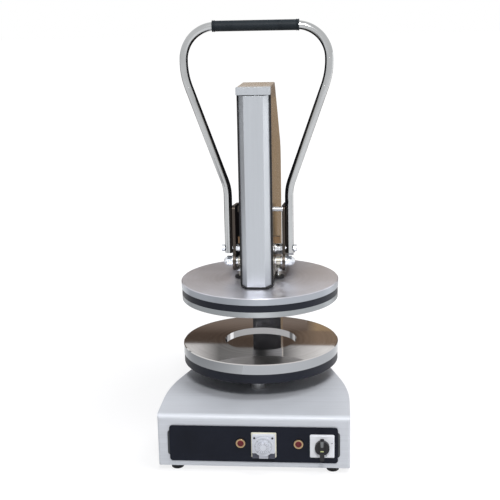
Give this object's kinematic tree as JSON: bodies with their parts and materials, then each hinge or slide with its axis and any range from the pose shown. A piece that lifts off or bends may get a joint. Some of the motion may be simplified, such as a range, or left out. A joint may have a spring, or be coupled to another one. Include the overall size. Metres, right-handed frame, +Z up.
{
  "type": "pizza dough press",
  "caption": "Heated manual pizza dough press: a U-shaped lever handle brings a round upper plate down its column onto a recessed lower plate above a base with controls.",
  "frame": {"origin": "middle of the bounding box on the floor under the feet", "axes": "+Z up, front with the control panel towards -Y, +X to the right seen from the front"},
  "size_m": [0.37, 0.5624, 0.853],
  "materials": {
    "base_sheet": "satin stainless sheet",
    "rubber_black": "matt",
    "panel_dark": "satin",
    "cream_plastic": "smooth",
    "white_plastic": "smooth",
    "black_plastic": "satin",
    "grey_plastic": "smooth",
    "lamp_gold": "polished",
    "lamp_red": "glossy",
    "turned_steel": "turned, concentric marks",
    "band_black": "satin",
    "insulation_board": "fibre board",
    "heater_steel": "dull",
    "plain_steel": "bright",
    "column_polish": "polished, warm",
    "head_satin": "satin",
    "block_iron": "machined",
    "bush_bronze": "machined",
    "spring_steel": "drawn wire",
    "zinc": "zinc plated",
    "rod_end_steel": "machined",
    "lever_steel": "polished",
    "tube_steel": "satin plated",
    "grip_slate": "satin"
  },
  "bodies": {
    "frame": {"base_cover": "base_sheet", "base_floor": "base_sheet", "rubber_feet": "rubber_black", "panel_backing": "panel_dark", "control_panel": "panel_dark", "thermostat_plate": "cream_plastic", "thermostat_face": "white_plastic", "thermostat_screws": "black_plastic", "thermostat_body": "grey_plastic", "lamp_bezels": "lamp_gold", "lamp_lenses": "lamp_red", "lamp_bodies": "black_plastic", "switch_plate": "white_plastic", "switch_body": "black_plastic", "cable_gland": "rubber_black", "terminal_block": "grey_plastic", "lower_standoffs": "plain_steel", "lower_pan": "band_black", "lower_insulation": "insulation_board", "lower_heater": "heater_steel", "lower_platen": "turned_steel", "column_frame": "column_polish", "post_bolts": "zinc", "post_stiffener": "plain_steel", "head_cover": "head_satin", "head_cap": "head_satin", "head_gasket": "rubber_black", "guide_blocks": "block_iron", "guide_bushes": "bush_bronze", "anchor_bolt": "zinc", "lever_stops": "rubber_black", "fulcrum_shaft": "plain_steel", "fulcrum_spacers": "plain_steel", "fulcrum_nuts": "zinc", "lift_spring": "spring_steel"},
    "platen": {"guide_ram": "plain_steel", "ram_collar": "plain_steel", "ram_nut": "zinc", "upper_top_disc": "turned_steel", "upper_band": "band_black", "upper_insulation": "insulation_board", "upper_heater": "heater_steel", "upper_press_disc": "turned_steel", "rod_ends": "rod_end_steel", "rod_end_locknuts": "zinc", "rod_end_feet": "rubber_black"},
    "lever": {"lever_plate_left": "lever_steel", "lever_plate_right": "lever_steel", "pivot_bolts": "zinc", "pivot_clips": "zinc", "handle_tube": "tube_steel", "handle_grip": "grip_slate", "arm_bolts": "zinc", "arm_nuts": "zinc"},
    "cam_switch": {"switch_knob": "black_plastic"},
    "temperature_dial": {"thermostat_dial": "white_plastic"}
  },
  "joints": [
    {"name": "platen_slide", "type": "slide", "parent": "frame", "child": "platen", "axis": [0, 0, -1], "range_m": [0, 0.09], "stiffness_N_per_m": 2400, "springref_m": -0.115, "deforming": ["lift_spring"]},
    {"name": "lever_swing", "type": "hinge", "parent": "platen", "child": "lever", "pos_m": [0, -0.02375, 0.366], "axis": [1, 0, 0], "range_deg": [0, 42]},
    {"name": "switch_turn", "type": "hinge", "parent": "frame", "child": "cam_switch", "pos_m": [0.132, -0.25695, 0.0605], "axis": [0, -1, 0], "range_deg": [-90, 0]},
    {"name": "thermostat_turn", "type": "hinge", "parent": "frame", "child": "temperature_dial", "pos_m": [0.0205, -0.25695, 0.0645], "axis": [0, -1, 0], "range_deg": [-270, 0]}
  ],
  "couplings": [
    {"joint": "lever_swing", "follows": "platen_slide", "rad_per_m": 8.1448}
  ]
}
